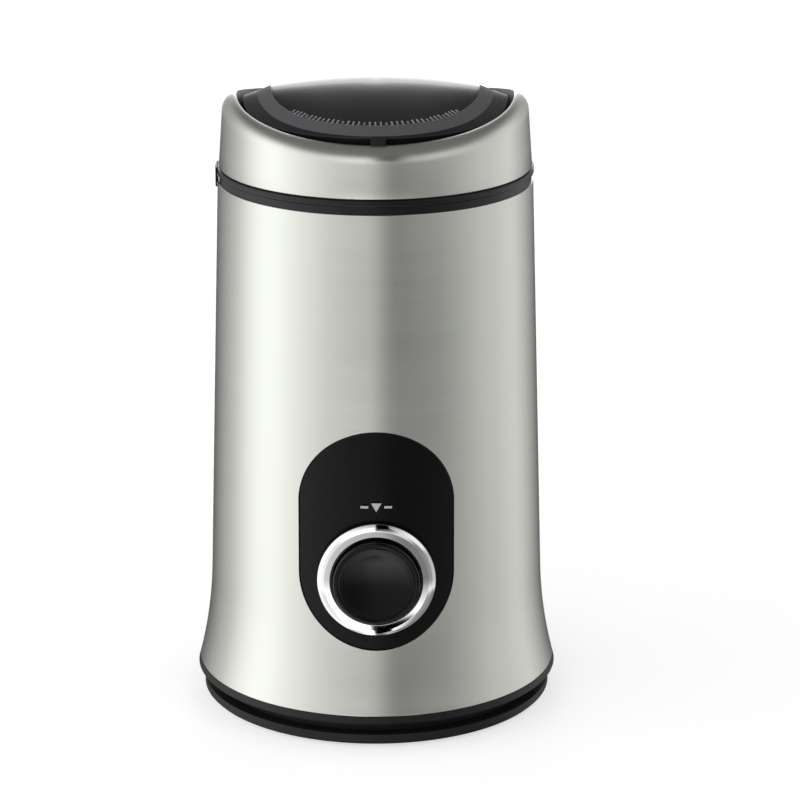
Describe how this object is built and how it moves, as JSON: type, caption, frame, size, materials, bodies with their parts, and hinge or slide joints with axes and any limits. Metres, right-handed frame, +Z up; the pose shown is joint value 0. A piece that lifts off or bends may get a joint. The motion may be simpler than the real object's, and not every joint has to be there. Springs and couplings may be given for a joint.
{
  "type": "electric spice grinder",
  "caption": "Upright electric spice grinder: flared steel sleeve, domed see-through lid, round push button on a black panel, and a twisted blade in a steel bowl on a motor.",
  "frame": {"origin": "on the worktop, on the vertical axis of the body, under the centre of the base", "axes": "+Z up along the body's axis, -Y towards the push button, +X to the right of someone who faces the button"},
  "size_m": [0.1082, 0.1081, 0.188],
  "materials": {
    "brushed_steel": "fine brushed, satin",
    "bowl_steel": "polished stainless",
    "bright_chrome": "mirror bright",
    "zinc_steel": "zinc plated",
    "spring_steel": "plain drawn wire",
    "lamination_steel": "dull lamination edges",
    "winding_copper": "varnished copper",
    "contact_brass": "plain",
    "carbon": "matt graphite",
    "dark_grey_plastic": "satin moulded",
    "charcoal_plastic": "satin moulded",
    "black_plastic": "smooth moulded",
    "gloss_black": "high gloss",
    "white_plastic": "plain moulded",
    "blue_plastic": "plain moulded",
    "black_rubber": "matt",
    "smoked_clear": "polished, smoke tinted"
  },
  "bodies": {
    "housing": {"outer_sleeve": "brushed_steel", "inner_housing": "dark_grey_plastic", "base_cover": "charcoal_plastic", "rubber_feet": "black_rubber", "base_screws": "zinc_steel", "cord_gland": "black_rubber", "top_collar": "black_plastic", "bowl_ring": "dark_grey_plastic", "grinding_bowl": "bowl_steel", "bowl_seal": "black_rubber", "shaft_seal": "black_rubber", "control_panel": "black_plastic", "button_ring": "bright_chrome", "button_guide": "white_plastic", "button_spring": "spring_steel", "power_switch": "black_plastic", "interlock_switch": "black_plastic", "interlock_spring": "spring_steel", "switch_terminals": "contact_brass", "stator_core": "lamination_steel", "field_coils": "winding_copper", "upper_bracket": "zinc_steel", "lower_bracket": "zinc_steel", "bearing_bushes": "contact_brass", "motor_bolts": "zinc_steel", "motor_mounts": "black_rubber", "mount_screws": "zinc_steel", "brush_holders": "contact_brass", "carbon_brushes": "carbon", "brush_springs": "spring_steel", "thermal_cutout": "white_plastic", "terminal_block": "white_plastic", "suppression_capacitor": "blue_plastic"},
    "lid": {"lid_band": "brushed_steel", "lid_window": "smoked_clear", "lid_seal": "black_rubber", "lid_collar": "black_plastic"},
    "rotor": {"motor_shaft": "spring_steel", "armature_core": "lamination_steel", "armature_winding": "winding_copper", "commutator": "winding_copper", "cooling_fan": "white_plastic", "thrust_washers": "zinc_steel", "blade_hub": "black_plastic", "grinding_blade": "bowl_steel", "blade_nut": "bowl_steel"},
    "button": {"button_cap": "gloss_black", "button_plunger": "white_plastic"},
    "switch_plunger": {"power_switch_plunger": "white_plastic"},
    "interlock": {"interlock_pin": "black_plastic", "interlock_plunger": "white_plastic"}
  },
  "joints": [
    {"name": "lid_lift", "type": "slide", "parent": "housing", "child": "lid", "axis": [0, 0, 1], "range_m": [0, 0.06]},
    {"name": "rotor_spin", "type": "hinge", "parent": "housing", "child": "rotor", "pos_m": [0, 0, 0.065], "axis": [0, 0, 1], "continuous": true},
    {"name": "button_press", "type": "slide", "parent": "housing", "child": "button", "axis": [0, 1, 0], "range_m": [0, 0.003], "stiffness_N_per_m": 400, "springref_m": -0.003, "deforming": ["button_spring"]},
    {"name": "switch_press", "type": "slide", "parent": "housing", "child": "switch_plunger", "axis": [0, 1, 0], "range_m": [0, 0.0015]},
    {"name": "interlock_rise", "type": "slide", "parent": "housing", "child": "interlock", "axis": [0, 0, 1], "range_m": [0, 0.002], "deforming": ["interlock_spring"]}
  ],
  "couplings": [
    {"joint": "switch_press", "follows": "button_press", "ratio": 0.5},
    {"joint": "interlock_rise", "follows": "lid_lift", "ratio": 0.0333}
  ]
}
